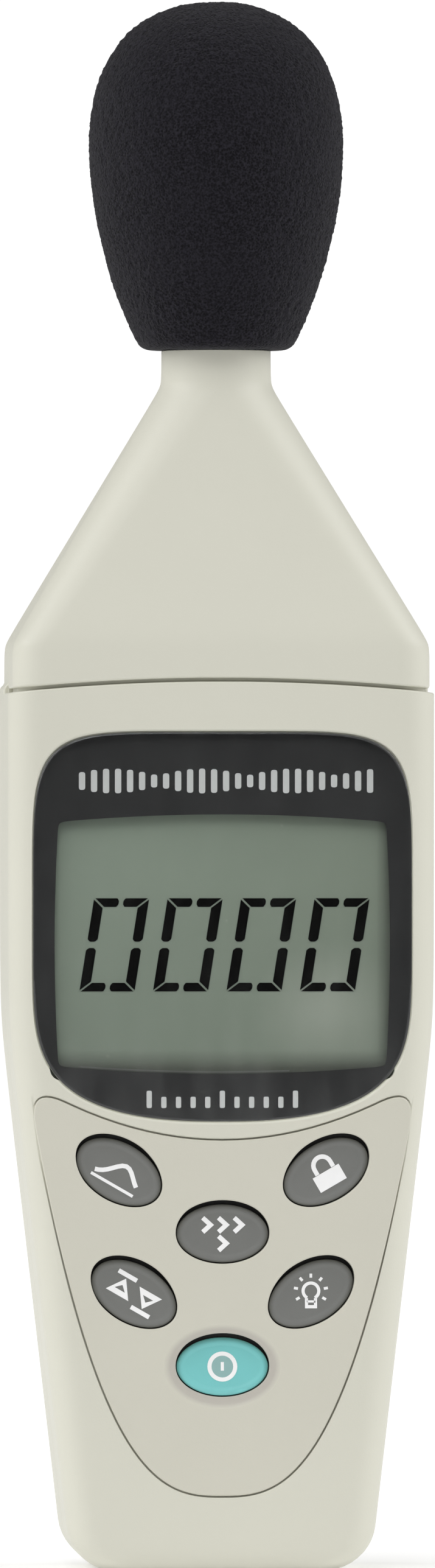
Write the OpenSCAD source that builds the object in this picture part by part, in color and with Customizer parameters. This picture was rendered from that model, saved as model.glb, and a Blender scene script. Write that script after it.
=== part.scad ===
// Hand-held sound level meter: two-part front casing, back casing with a battery bay,
// LCD module, six oval keys, half-inch microphone under a foam windscreen.
// Frame: X to the right, Y towards the back, Z up; the origin is under the middle of the base.

/* [Casing] */
// Half of the width across the display
half_width = 28.5; // [27:0.1:31]
// Depth from the middle plane to the flat front face
front_depth = 15.6; // [14.8:0.1:16.4]
// Depth from the middle plane to the flat back face
back_depth = 16; // [15.4:0.1:16.6]
// Wall thickness
wall = 2.2; // [1.8:0.1:2.4]
// Radius of the long outer edges
edge_r = 4.4; // [4:0.1:6]
// Height of the seam between the head and the front casing, at the middle
seam_z = 118.9; // [117:0.1:120]
// Open width of the visible seams
seam_gap = 0.5; // [0.2:0.1:0.6]

/* [Head and windscreen] */
// Height of the top of the neck
neck_top = 163; // [160:0.5:164]
// Outer radius of the neck
neck_r = 7.4; // [7.2:0.1:8]
// Largest radius of the foam windscreen
foam_r = 17.15; // [16:0.05:18]
// Overall height, at the top of the foam
foam_top = 210; // [205:0.5:212]
// Outer radius of the half-inch microphone tube
mic_r = 6.35; // [6.2:0.05:6.4]

/* [Display] */
// Half of the width of the display lens
lens_half_w = 25.25; // [24:0.05:26]
// Height of the middle of the display lens
lens_z = 86; // [85:0.5:87]
// Half of the height of the display lens
lens_half_h = 25.9; // [25:0.05:26.5]

/* [Keys] */
// Half of the length of a key
key_a = 6.1; // [5.6:0.1:6.4]
// Half of the height of a key
key_b = 3.85; // [3.4:0.05:4.2]
// Gap round each key
key_gap = 0.25; // [0.15:0.05:0.4]
// How much wider the gap is above each key
key_sag = 0.25; // [0:0.05:0.4]
// Slant of the keys in the outer columns
key_tilt = 30; // [20:1:35]

/* [Back] */
// Half of the width of the battery door
door_half_w = 14.6; // [14.4:0.1:15]
// Height of the door's turning axis
door_axis_z = 8.5; // [8:0.1:9]
// Height of the door's upper edge
door_top = 67; // [66:0.5:68]

/* [Hidden] */
eps = 0.01;

// Layers from the front face backwards, as Y values
panel_t = 0.8;
lens_t = 1.3;
mask_t = 0.1;
face_y = -front_depth;
wall_y = face_y + wall;
glass_y = wall_y + 0.2;
glass_t = 2.6;
board_y = -8.4;
board_t = 1.6;
board_back = board_y + board_t;
back_y = back_depth;
back_in = back_y - 2;

// Casing outline
base_r = 6.2;
base_edge = 4;
corner_steps = 6;
big = 400;

// Tongues that close the seams from inside: where they start in the wall, their play and height
lip_in = 1.2;
lip_play = 0.1;
lip_h = 1.4;

// Keys: where each one is, and its slant
key_weighting_at = [-13.8, 53.4, -key_tilt];
key_hold_at = [13.8, 53.4, key_tilt];
key_response_at = [0, 45.2, 0];
key_max_min_at = [-11.8, 37.2, -key_tilt];
key_light_at = [11.8, 37.2, key_tilt];
key_power_at = [0, 27.5, 0];
keys_at = [
    key_weighting_at, key_hold_at, key_response_at, key_max_min_at, key_light_at, key_power_at
];
key_rim_y = face_y + 0.5;
flange_front = wall_y + 0.15;
flange_back = flange_front + 0.8;
key_foot_y = -10.9;
mat_y = -9.6;

// Screws
body_screw_at = [[-22.3, 112], [22.3, 112], [-17.5, 14], [17.5, 14]];
head_screw_at = [[-9, 134], [9, 134]];
case_screw_at = concat(body_screw_at, head_screw_at);
board_screw_at = [[-21, 59.6], [21, 59.6], [-12.5, 19.5], [12.5, 19.5], [-12, 111], [12, 111]];
screw_hole_r = 1.15;
seat_y = 11;

// Battery bay
battery_half_w = 13.1;
battery_y0 = -4;
battery_y1 = 13.2;
battery_z0 = 11.8;
battery_z1 = 58.2;
bay_half_w = 13.5;
bay_wall = 0.8;
bay_z0 = 9.6;
bay_z1 = 70.6;
door_axis_y = back_y - 1;
door_edge_r = 1;
trunnion_r = 0.6;
trunnion_gap = 0.05;
trunnion_len = 1.3;

tripod_z = 84;
tripod_bore_r = 2.55;
tripod_len = 8;
trimmer_x = 12;
trimmer_z = 101;

mic_bore_gap = 0.05;
neck_floor = 149;
mic_top = 181;
foam_bore_r = mic_r + 0.1;
foam_z0 = neck_top + 0.2;
foam_widest_z = 190.5;

// Smooth lesser and greater of two values
function soft_min(a, b, k) = (a + b - sqrt((a - b) * (a - b) + k * k)) / 2;
function soft_max(a, b, k) = (a + b + sqrt((a - b) * (a - b) + k * k)) / 2;

// How far a round base edge of radius r pulls in at height z
function base_pull(r, z) = z >= r ? 0 : r - sqrt(r * r - (r - z) * (r - z));

// Half-width of the casing at height z, below and above the seam
function body_w(z) = soft_min(19.95 + 0.116 * z, half_width, 0.5) - base_pull(base_r, z);
function head_w(z) = soft_max(
    soft_min(neck_r + 0.1 + 0.593 * (158 - z), half_width - 0.6, 0.4), neck_r - 0.1, 0.4
);

// Depth from the middle plane to one face at height z, for a face that is d deep lower down
function face_d(d, z) = soft_max(
    soft_min(neck_r + (d - neck_r) * (158 - z) / 34, d, 0.3), neck_r - 0.1, 0.3
) - base_pull(base_edge, z);

// Closed ring of casing points at height z, pulled in by inset
function casing_ring(z, inset, head) = let (
    w = (head ? head_w(z) : body_w(z)) - inset,
    front = face_d(front_depth, z) - inset,
    back = face_d(back_depth, z) - inset,
    grow = z < 124 ? 0 : min(1, (z - 124) / 34),
    r = min(edge_r + (neck_r - edge_r) * grow - inset, w - 0.05, front - 0.05)
) [
    for (c = [0:3], i = [0:corner_steps]) let (
        a = 90 * (c + i / corner_steps),
        cx = (c == 0 || c == 3 ? 1 : -1) * (w - r),
        cy = c < 2 ? back - r : r - front
    ) [cx + r * cos(a), cy + r * sin(a), z]
];

// Solid through a stack of rings that have the same number of points
module loft(rings) {
    n = len(rings[0]);
    last = len(rings) - 1;
    polyhedron(
        points = [for (r = rings) each r],
        faces = concat(
            [[for (i = [0:n - 1]) i], [for (i = [n - 1:-1:0]) last * n + i]],
            [for (j = [0:last - 1], i = [0:n - 1]) let (k = (i + 1) % n)
                [j * n + i, (j + 1) * n + i, (j + 1) * n + k]],
            [for (j = [0:last - 1], i = [0:n - 1]) let (k = (i + 1) % n)
                [j * n + i, (j + 1) * n + k, j * n + k]]
        ),
        convexity = 6
    );
}

base_levels = [for (a = [0:15:90]) base_r * (1 - cos(a))];
body_levels = concat(base_levels, [35, 62, 67, 71, 75, 80, 90]);
head_levels = [122, 123, 124, 125, 127, 140, 155, 157, 158, 159, 161];

// Casing solids, pulled in by inset: the part below the seam, the part above it, and the bay inside
module body_solid(inset, top) loft([
    for (z = concat(body_levels, [top])) casing_ring(z, inset, false)
]);
module head_solid(inset, bottom) loft([
    for (z = concat([bottom], head_levels, [neck_top])) casing_ring(z, inset, true)
]);
module cavity(inset) loft([
    for (z = [inset, 3.5, 6.2, 35, 62, 71, 80, 121, 125, neck_floor])
        casing_ring(z, inset, z > 120)
]);

// Thin inner wall that stands in one casing part and reaches past its seam into the next
module tongue() difference() {
    cavity(lip_in);
    cavity(wall);
}

// A flat outline in X and Z, given thickness from y0 back to y1
module slab(y0, y1) translate([0, y1, 0]) rotate([90, 0, 0]) linear_extrude(y1 - y0) children();
module rod(r, y0, y1, x, z) translate([x, y0, z]) rotate([-90, 0, 0])
    cylinder(r = r, h = y1 - y0, $fn = 48);
module block(x, y, z) translate([x[0], y[0], z[0]]) cube([x[1] - x[0], y[1] - y[0], z[1] - z[0]]);
module zone_x(half_w, y, z) block([-half_w, half_w], y, z);
module trunnion_line(r, half_w) translate([-half_w, door_axis_y, door_axis_z])
    rotate([0, 90, 0]) cylinder(r = r, h = 2 * half_w, $fn = 48);
module rounded(w, z0, z1, r) hull() for (x = [r - w, w - r], z = [z0 + r, z1 - r])
    translate([x, z]) circle(r = r, $fn = 32);
module oval(at, grow) translate([at[0], at[1]]) rotate(at[2])
    scale([key_a + grow, key_b + grow]) circle(r = 1, $fn = 64);
module key_opening(at) hull() for (rise = [0, key_sag])
    translate([0, rise]) oval(at, key_gap);

// Everything below or above the arched seam: a cylinder along Y, far larger than the casing
seam_r = 269;
module below_seam(drop) translate([0, -big / 2, seam_z - seam_r - drop]) rotate([-90, 0, 0])
    cylinder(r = seam_r, h = big, $fn = 720);

// Outline of the display lens: squarish above, sweeping to a long curve below
function lens_point(a, grow) = let (
    p = a < 180 ? 6 : 2.5,
    q = a < 180 ? 6 : 4.8
) [
    sign(cos(a)) * (lens_half_w + grow) * pow(abs(cos(a)), 2 / p),
    lens_z + sign(sin(a)) * (lens_half_h + grow) * pow(abs(sin(a)), 2 / q)
];
module lens_outline(grow = 0) polygon([for (a = [1.5:3:358.5]) lens_point(a, grow)]);

// Barrel-shaped window: a rectangle with slightly round corners, whose four sides swell a little
window_w = 22.35;
window_h = 17.25;
window_z = 83.7;
module window_outline() polygon([
    for (side = [0:3], a = [-90:6:84]) let (
        t = sin(a),
        f = pow(1 + pow(abs(t), 60), -1 / 60),
        u = f * cos(90 * side) - t * f * sin(90 * side),
        v = f * sin(90 * side) + t * f * cos(90 * side)
    ) [u * (window_w - 0.5 * v * v), window_z + v * (window_h - u * u)]
]);

// Outline of the keypad panel: straight tapering sides, a round bottom and a hollow top edge
panel_z0 = 10.1;
function panel_side(u) = [25.5 * u, panel_z0 + 51 * pow(u, 2.78)];
function panel_top(x) = [x, 57.8 + 0.0115 * x * x];
function corner(a, b, c, t) = a * (1 - t) * (1 - t) + b * 2 * t * (1 - t) + c * t * t;
function half_panel() = concat(
    [for (u = [0:0.07:0.98]) panel_side(u)],
    [for (t = [0:0.2:1]) corner(panel_side(0.99), [26, 65.2], panel_top(21), t)],
    [for (x = [18:-3:3]) panel_top(x)]
);
module panel_outline(inset = 0) offset(delta = -inset) polygon(concat(
    half_panel(), [panel_top(0)],
    [for (i = [len(half_panel()) - 1:-1:1]) let (p = half_panel()[i]) [-p[0], p[1]]]
));

// Tube along a route, with a ring of eight points at each route point
function direction(route, i) = let (
    a = route[max(0, i - 1)],
    b = route[min(len(route) - 1, i + 1)]
) (b - a) / norm(b - a);
module tube(route, r, up = [0, 1, 0]) loft([
    for (i = [0:len(route) - 1]) let (
        d = direction(route, i),
        u = cross(up, d) / norm(cross(up, d)),
        v = cross(d, u)
    ) [for (a = [0:45:315]) route[i] + r * (cos(a) * u + sin(a) * v)]
]);

module screw_group(places, seat, length, shank_r, head_r, head_h, way) {
    for (p = places) {
        rod(shank_r, way > 0 ? seat : seat - length, way > 0 ? seat + length : seat, p[0], p[1]);
        difference() {
            rod(head_r, way > 0 ? seat - head_h : seat, way > 0 ? seat : seat + head_h, p[0], p[1]);
            translate([p[0], way > 0 ? seat - head_h : seat + head_h, p[1]]) {
                cube([2.4, 1.4, 0.6], center = true);
                cube([0.6, 1.4, 2.4], center = true);
            }
        }
    }
}

// Box on both sides of the middle plane, from y0 to y1 and from z0 to z1
module zone(y0, y1, z0, z1) block([-big, big], [y0, y1], [z0, z1]);
module neck_bore() translate([0, 0, neck_floor - 1])
    cylinder(r = mic_r + mic_bore_gap, h = 30, $fn = 96);

module rear_shell() color([0.85, 0.85, 0.81]) difference() {
    union() {
        difference() {
            intersection() {
                union() {
                    body_solid(0, seam_z - 0.7);
                    head_solid(0, seam_z - 0.7);
                }
                zone(0.1, big, -1, big);
            }
            cavity(wall);
        }
        intersection() {
            tongue();
            zone(-lip_h, 0.2, -1, neck_floor - 2);
        }
        // Battery bay and the cheeks of the door's trunnions
        zone_x(bay_half_w + bay_wall, [-4.9, back_in + 1], [6.2, bay_z1 + bay_wall]);
        zone_x(door_half_w + 2.6, [11.5, back_in + 1], [6.2, 11]);
        for (p = body_screw_at) rod(2.9, 0.1, back_in - 0.5, p[0], p[1]);
        for (p = head_screw_at) rod(2.9, 0.1, seat_y + 0.9, p[0], p[1]);
        rod(6.2, back_y - tripod_len - 1.5, back_in + 0.5, 0, tripod_z);
        rod(3, 0.5, back_in + 0.5, trimmer_x, trimmer_z);
    }
    zone_x(bay_half_w, [-4.1, back_in + eps], [bay_z0, bay_z1]);
    slab(back_in, big) rounded(door_half_w + 0.2, door_axis_z - 1.3, door_top + 0.2, 1.6);
    zone_x(door_half_w + 0.2, [back_in, big], [door_axis_z - 1.3, door_axis_z + 0.4]);
    trunnion_line(trunnion_r + trunnion_gap, door_half_w + trunnion_len + 0.2);
    zone_x(4, [6, 9.5], [bay_z1 - 1, bay_z1 + 2]);
    for (p = case_screw_at) {
        rod(2.6, seat_y, big, p[0], p[1]);
        rod(1.4, -5, big, p[0], p[1]);
    }
    rod(4.2, back_y - tripod_len, big, 0, tripod_z);
    rod(1.9, -1, big, trimmer_x, trimmer_z);
    neck_bore();
}

module front_shell() color([0.84, 0.83, 0.79]) difference() {
    union() {
        difference() {
            intersection() {
                body_solid(0, seam_z + 2);
                zone(-big, -0.1, -1, big);
                below_seam(seam_gap / 2);
            }
            cavity(wall);
        }
        intersection() {
            tongue();
            zone(-big, -lip_h - 0.3, seam_z - 4, seam_z + lip_h);
        }
        for (p = body_screw_at) rod(2.9, wall_y - 0.5, -0.1, p[0], p[1]);
        for (p = board_screw_at) rod(2.3, wall_y - 0.5, board_y, p[0], p[1]);
    }
    intersection() {
        cavity(lip_in - lip_play);
        zone(-lip_h - lip_play, 1, -1, big);
    }
    slab(face_y - 1, face_y + lens_t + mask_t) lens_outline(0.15);
    slab(face_y - 1, face_y + panel_t) panel_outline();
    slab(face_y, wall_y + 1) rounded(23, 65.6, 101.6, 1.5);
    for (k = keys_at) slab(face_y, wall_y + 1) key_opening(k);
    for (p = body_screw_at) rod(screw_hole_r, -9, 1, p[0], p[1]);
    for (p = board_screw_at) rod(0.9, wall_y + 0.4, 0, p[0], p[1]);
}

module head_shell() color([0.84, 0.83, 0.79]) difference() {
    union() {
        difference() {
            intersection() {
                head_solid(0, seam_z - 5);
                zone(-big, -0.1, -1, big);
            }
            cavity(wall);
            below_seam(-seam_gap / 2);
        }
        for (p = head_screw_at) rod(2.9, -12, -0.1, p[0], p[1]);
    }
    intersection() {
        cavity(lip_in - lip_play);
        union() {
            zone(-lip_h - lip_play, 1, -1, neck_floor - 1.9);
            zone(-big, 1, -1, seam_z + lip_h + lip_play);
        }
    }
    for (p = head_screw_at) rod(screw_hole_r, -9, 1, p[0], p[1]);
    neck_bore();
}

module keypad_panel() color([0.82, 0.81, 0.76]) difference() {
    slab(face_y, face_y + panel_t) panel_outline(0.22);
    for (k = keys_at) slab(face_y - 1, face_y + 2) key_opening(k);
}

module display_lens() color([0.6, 0.65, 0.65, 0.35]) slab(face_y, face_y + lens_t) lens_outline();

module lens_mask() color([0.19, 0.19, 0.2]) difference() {
    slab(face_y + lens_t, face_y + lens_t + mask_t) lens_outline();
    slab(face_y, 0) window_outline();
}

module lcd_glass() color([0.48, 0.52, 0.47])
    block([-23.8, 23.8], [glass_y, glass_y + glass_t], [64.4, 102.8]);

module lcd_frame() color([0.9, 0.9, 0.88]) difference() {
    block([-24.6, 24.6], [glass_y + 1.2, board_y], [62.6, 104.6]);
    block([-24.1, 24.1], [-big, 0], [64.3, 102.9]);
}

module backlight_panel() color([0.93, 0.95, 0.9])
    block([-22.6, 22.6], [glass_y + glass_t + 0.1, board_y - 0.2], [67.4, 99.8]);

module backlight_leds() color([0.98, 0.96, 0.85]) for (x = [-23.9, 22.8], z = [74, 84, 94])
    block([x, x + 1.1], [-10.2, board_y], [z - 1.6, z + 1.6]);

module zebra_strips() color([0.75, 0.45, 0.5]) for (z = [65, 100.4])
    block([-22.5, 22.5], [glass_y + glass_t, board_y], [z, z + 1.8]);

module main_board() color([0.05, 0.35, 0.2]) difference() {
    slab(board_y, board_back) polygon([
        [-13.5, 15.5], [13.5, 15.5], [17, 24], [22.5, 54], [24.6, 62], [24.6, 106],
        [18.5, 107], [17, 118], [-17, 118], [-18.5, 107], [-24.6, 106], [-24.6, 62],
        [-22.5, 54], [-17, 24]
    ]);
    for (p = board_screw_at) rod(1.3, -big, 0, p[0], p[1]);
}

module processor_chip() color([0.12, 0.12, 0.13]) {
    block([-7, 7], [board_back + 0.1, board_back + 1.9], [87, 101]);
    for (i = [-5:5]) {
        block([i * 1.2 - 0.2, i * 1.2 + 0.2], [board_back, board_back + 0.6], [86, 102]);
        block([-8, 8], [board_back, board_back + 0.6], [94 + i * 1.2 - 0.2, 94 + i * 1.2 + 0.2]);
    }
}

module op_amps() color([0.13, 0.13, 0.14]) for (z = [106.2, 111.6], x = [-4, 4]) {
    block([x - 2, x + 2], [board_back + 0.1, board_back + 1.6], [z - 2.4, z + 2.4]);
    for (i = [-1.5:1.5])
        block([x - 3, x + 3], [board_back, board_back + 0.4], [z + i * 1.27 - 0.2, z + i * 1.27 + 0.2]);
}

module capacitors() color([0.15, 0.2, 0.4]) for (p = [[-17, 96, 3.1], [-17, 87, 2.6], [17, 88, 2.6]])
    rod(p[2], board_back, board_back + 6.5, p[0], p[1]);

module chip_resistors() color([0.2, 0.2, 0.22]) for (x = [-18:4:18], z = [72, 76.5])
    block([x - 1, x + 1], [board_back, board_back + 0.6], [z - 0.6, z + 0.6]);

module crystal_can() color([0.8, 0.8, 0.82]) hull() for (x = [10, 17])
    rod(1.8, board_back, board_back + 3.4, x, 80.5);

module contact_pads() color([0.85, 0.68, 0.3]) for (k = keys_at)
    rod(2.4, board_y - 0.08, board_y, k[0], k[1]);

// One silicone sheet with a hollow dome behind each key
module keypad_mat() color([0.8, 0.8, 0.78]) difference() {
    union() {
        slab(mat_y, board_y - 0.1) polygon([
            [-12, 21.5], [12, 21.5], [17.5, 32], [21, 57.5], [-21, 57.5], [-17.5, 32]
        ]);
        for (k = keys_at) translate([k[0], mat_y, k[1]]) rotate([90, 0, 0])
            cylinder(r1 = 4.2, r2 = 2.6, h = mat_y - key_foot_y - 0.05, $fn = 48);
    }
    for (k = keys_at) rod(2.5, mat_y - 0.5, 0, k[0], k[1]);
    for (p = board_screw_at) rod(2.6, -big, 0, p[0], p[1]);
}

// A key: domed cap, hidden flange that keeps it in, and the foot that presses the mat
module key(at) {
    slab(key_rim_y, flange_back) oval(at, 0);
    slab(key_rim_y - 0.3, key_rim_y) oval(at, -0.5);
    slab(flange_front, flange_back) oval(at, 0.9);
    slab(flange_back, key_foot_y) oval(at, -2);
}
key_grey = [0.45, 0.46, 0.46];
module key_weighting() color(key_grey) key(key_weighting_at);
module key_hold() color(key_grey) key(key_hold_at);
module key_response() color(key_grey) key(key_response_at);
module key_max_min() color(key_grey) key(key_max_min_at);
module key_light() color(key_grey) key(key_light_at);
module key_power() color([0.37, 0.73, 0.71]) key(key_power_at);

module cal_trimmer() color([0.2, 0.35, 0.7]) difference() {
    block(
        [trimmer_x - 3.4, trimmer_x + 3.4], [board_back, -2], [trimmer_z - 3.4, trimmer_z + 3.4]
    );
    rod(2.05, -3.5, 0, trimmer_x, trimmer_z);
}

module cal_rotor() color([0.95, 0.95, 0.9]) difference() {
    rod(2, -3.45, -1.6, trimmer_x, trimmer_z);
    translate([trimmer_x, -1.6, trimmer_z]) cube([3, 1.2, 0.6], center = true);
}

module ring(r0, r1, z0, z1) translate([0, 0, z0]) difference() {
    cylinder(r = r1, h = z1 - z0, $fn = 96);
    translate([0, 0, -1]) cylinder(r = r0, h = z1 - z0 + 2, $fn = 96);
}

module mic_tube() color([0.75, 0.76, 0.78]) {
    ring(5.7, mic_r, neck_floor - 2, mic_top - 2);
    ring(5.7, 6.9, neck_floor - 2.2, neck_floor - 1);
}

module mic_seal() color([0.1, 0.1, 0.1]) ring(mic_r + 0.02, 6.9, neck_floor - 1, neck_floor - 0.05);

module mic_grille() color([0.7, 0.71, 0.73]) difference() {
    translate([0, 0, mic_top - 2]) cylinder(r = mic_r, h = 2, $fn = 96);
    translate([0, 0, mic_top - 3]) cylinder(r = 5.2, h = 2, $fn = 96);
    for (n = [[0, 1], [2, 6], [4, 12]], i = [0:n[1] - 1]) rotate([0, 0, 360 * i / n[1]])
        translate([n[0], 0, mic_top - 3]) cylinder(r = 0.6, h = 4, $fn = 24);
}

module mic_capsule() color([0.6, 0.6, 0.62])
    translate([0, 0, mic_top - 9]) cylinder(r = 5.6, h = 6.8, $fn = 96);

// Routes of the inner leads
mic_route = [
    [0, 0, 172], [0, 0, 165], [0, 0, 155], [0, 0, 145], [0.5, -0.3, 138], [2, -1.5, 131],
    [3, -3.5, 125], [3, -5, 121], [3, -5.6, 118.5], [3, -5.75, 116]
];
red_route = [
    [-3, 6, 63.8], [-3, 6, 65.2], [-3, 6.8, 67.4], [-3, 7.6, 70], [-3.5, 7.4, 73], [-6, 5.4, 76],
    [-8, 2, 78.4], [-9, -1.4, 80.6], [-9, -4.4, 81.9], [-9, -5.6, 82], [-9, -6.8, 82]
];
black_route = [
    [3, 6, 63.8], [3, 6, 65.2], [3, 6.8, 67.4], [3, 7.6, 70], [2.5, 7.4, 73], [0, 5.4, 76],
    [-2, 2, 78.4], [-4, -1.4, 80.6], [-4.5, -4.4, 81.9], [-4.5, -5.6, 82], [-4.5, -6.8, 82]
];
module mic_cable() color([0.1, 0.1, 0.1]) tube(mic_route, 1);
module lead_red() color([0.75, 0.1, 0.1]) tube(red_route, 0.6, [1, 0, 0]);
module lead_black() color([0.08, 0.08, 0.08]) tube(black_route, 0.6, [1, 0, 0]);

module battery() color([0.25, 0.27, 0.3]) hull()
    for (x = [1.5 - battery_half_w, battery_half_w - 1.5], y = [battery_y0 + 1.5, battery_y1 - 1.5])
        translate([x, y, battery_z0]) cylinder(r = 1.5, h = battery_z1 - battery_z0, $fn = 32);

battery_mid = (battery_y0 + battery_y1) / 2;
module battery_terminals() color([0.8, 0.8, 0.78]) {
    translate([-6.35, battery_mid, battery_z1]) cylinder(r = 2.9, h = 2.4, $fn = 48);
    translate([6.35, battery_mid, battery_z1]) cylinder(r = 3.9, h = 2.4, $fn = 6);
}

module snap_connector() color([0.1, 0.1, 0.11])
    block([-12.4, 12.4], [battery_mid - 6, battery_mid + 6], [battery_z1 + 2.5, battery_z1 + 5.6]);

module battery_door() color([0.85, 0.85, 0.81]) difference() {
    union() {
        slab(back_in, back_y) rounded(door_half_w, door_axis_z, door_top, 1.4);
        zone_x(door_half_w, [back_in, back_y], [door_axis_z, door_axis_z + 2]);
        trunnion_line(door_edge_r, door_half_w);
        trunnion_line(trunnion_r, door_half_w + trunnion_len);
    }
    for (i = [0:4]) zone_x(7, [back_y - 0.6, big], [door_top - 14 + i * 2, door_top - 13 + i * 2]);
}

// Springy hook on the inside of the door: in, up, and out again under the casing's edge
module door_latch() color([0.85, 0.85, 0.81]) {
    zone_x(4, [back_in - 3.4, back_in], [door_top - 3.4, door_top - 2.4]);
    zone_x(4, [back_in - 3.4, back_in - 2.4], [door_top - 2.4, door_top + 2.4]);
    zone_x(4, [back_in - 2.4, back_in - 0.3], [door_top + 1.2, door_top + 2.4]);
}

module battery_pad() color([0.2, 0.2, 0.2]) block([-8, 8], [battery_y1 + 0.1, back_in], [24, 44]);

module tripod_insert() color([0.75, 0.6, 0.3]) difference() {
    rod(4.2, back_y - tripod_len, back_y - 0.1, 0, tripod_z);
    rod(tripod_bore_r, back_y - tripod_len + 1, big, 0, tripod_z);
}

module case_screws() color([0.6, 0.6, 0.62])
    screw_group(case_screw_at, seat_y, 18, 1.12, 2.3, 1.6, -1);
module board_screws() color([0.6, 0.6, 0.62])
    screw_group(board_screw_at, board_back, 5.6, 0.88, 1.8, 1.2, -1);

function foam_radius(z) = z > foam_widest_z
    ? foam_r * pow(1 - pow((z - foam_widest_z) / (foam_top - foam_widest_z), 2.3), 1 / 2.3)
    : foam_r - 6.86 * pow((foam_widest_z - z) / (foam_widest_z - foam_z0), 1.95);
module windscreen() color([0.22, 0.22, 0.23]) rotate_extrude($fn = 96) polygon(concat(
    [[foam_bore_r, foam_z0], [foam_radius(foam_z0) - 0.8, foam_z0]],
    [for (z = [foam_z0 + 0.8:2.4:foam_widest_z]) [foam_radius(z), z]],
    [for (a = [0:6:90]) let (z = foam_widest_z + (foam_top - foam_widest_z) * sin(a)) [foam_radius(z), z]],
    [[0, mic_top + 1], [foam_bore_r, mic_top + 1]]
));

rear_shell();
front_shell();
head_shell();
keypad_panel();
display_lens();
lens_mask();
lcd_glass();
lcd_frame();
backlight_panel();
backlight_leds();
zebra_strips();
main_board();
processor_chip();
op_amps();
capacitors();
chip_resistors();
crystal_can();
contact_pads();
keypad_mat();
key_weighting();
key_hold();
key_response();
key_max_min();
key_light();
key_power();
cal_trimmer();
cal_rotor();
mic_tube();
mic_grille();
mic_capsule();
mic_seal();
mic_cable();
battery();
battery_terminals();
snap_connector();
lead_red();
lead_black();
battery_door();
door_latch();
battery_pad();
tripod_insert();
case_screws();
board_screws();
windscreen();
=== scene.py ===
"""Sound level meter: shells, keys, display and foam windscreen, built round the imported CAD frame."""

from math import asin, copysign, cos, degrees, exp, hypot, pi, radians, sin, sqrt, tan

import bmesh
import bpy
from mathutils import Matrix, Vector, noise


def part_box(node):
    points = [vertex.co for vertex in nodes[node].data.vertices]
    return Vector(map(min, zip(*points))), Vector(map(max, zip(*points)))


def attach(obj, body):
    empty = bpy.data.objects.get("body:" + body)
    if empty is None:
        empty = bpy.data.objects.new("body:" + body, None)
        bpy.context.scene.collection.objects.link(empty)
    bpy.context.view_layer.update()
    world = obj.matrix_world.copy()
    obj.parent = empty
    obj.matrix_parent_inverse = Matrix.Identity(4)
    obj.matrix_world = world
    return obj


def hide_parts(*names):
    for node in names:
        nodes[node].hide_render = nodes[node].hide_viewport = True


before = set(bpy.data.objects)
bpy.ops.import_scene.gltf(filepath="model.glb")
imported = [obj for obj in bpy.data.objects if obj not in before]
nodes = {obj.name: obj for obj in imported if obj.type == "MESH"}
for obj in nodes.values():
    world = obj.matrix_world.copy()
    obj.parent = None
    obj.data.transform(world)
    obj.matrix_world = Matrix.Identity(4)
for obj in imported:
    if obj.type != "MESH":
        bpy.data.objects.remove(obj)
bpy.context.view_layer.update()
MM = 0.001


def corners(node):
    """Lowest and highest corner of a CAD node, in millimetres."""
    low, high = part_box(node)
    return low / MM, high / MM


# ---- sizes, in millimetres
# Casing, by the same rules as the CAD model
HALF_WIDTH = 28.5
FRONT_DEPTH = 15.6
BACK_DEPTH = 16.0
WALL = 2.2
EDGE_R = 4.4
BASE_R = 6.2
BASE_EDGE = 4.0
SEAM_Z = 118.9
SEAM_GAP = 0.5
SEAM_R = 269.0
NECK_R = 7.4
NECK_TOP = 163.0
NECK_FLOOR = 149.0
TAPER_Z0 = 124.0
TAPER_Z1 = 158.0
PART = 0.1
LIP = 0.28
NECK_LIP = 0.12
CORNER_STEPS = 12
FLAT_STEPS = 8

# Display and face plate
FACE = -FRONT_DEPTH
PANEL_T = 0.8
LENS_T = 1.3
LENS_W, LENS_Z, LENS_H = 25.25, 86.0, 25.9
WINDOW_Z, WINDOW_H = 83.7, 17.25
GLASS_Y = corners("lcd_glass")[0].y
MASK_Y = corners("lens_mask")[0].y

# Keys: x, z and tilt in degrees of each
KEY_A, KEY_B = 6.1, 3.85
KEY_GAP = 0.16
KEY_TILT = 30
KEYS = {
    "key_weighting": (-13.8, 53.4, -KEY_TILT),
    "key_hold": (13.8, 53.4, KEY_TILT),
    "key_response": (0, 45.2, 0),
    "key_max_min": (-11.8, 37.2, -KEY_TILT),
    "key_light": (11.8, 37.2, KEY_TILT),
    "key_power": (0, 27.5, 0),
}
KEY_SAG = 0.45
KEY_TOP = FACE + 0.22
KEY_FLOOR = FACE + 0.36
KEY_SLOPE = 0.7
POWER_SLOPE = 1.2
INK_T = 0.05

# Back, microphone and foam
BODY_SCREWS = [(-22.3, 112), (22.3, 112), (-17.5, 14), (17.5, 14)]
HEAD_SCREWS = [(-9, 134), (9, 134)]
SEAT_Y = 11.0
SCREW_HOLE_R = 2.6
BACK_IN = BACK_DEPTH - 2
BOSS_TOP = BACK_DEPTH - 1.4
DOOR_W, DOOR_AXIS_Z, DOOR_TOP = 14.6, 8.5, 67.0
DOOR_AXIS_Y = BACK_DEPTH - 1
BAY_W, BAY_Z0, BAY_Z1 = 13.5, 9.6, 70.6
TRIPOD_Z = 84.0
INSERT_R, THREAD_R, THREAD_PITCH = 4.2, 2.55, 1.27
TRIMMER_X, TRIMMER_Z = 12.0, 101.0
MIC_R, MIC_TOP = 6.35, 181.0
FOAM_R, FOAM_TOP, FOAM_WIDEST = 17.15, 210.0, 190.5
FOAM_Z0 = NECK_TOP + 0.1
FOAM_BORE = MIC_R + 0.1
FOAM_STEPS, FOAM_ROW = 400, 0.3


# ---- shapes: vertices and faces
def angles(start, end, steps):
    return [radians(start + (end - start) * i / steps) for i in range(steps + 1)]


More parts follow.
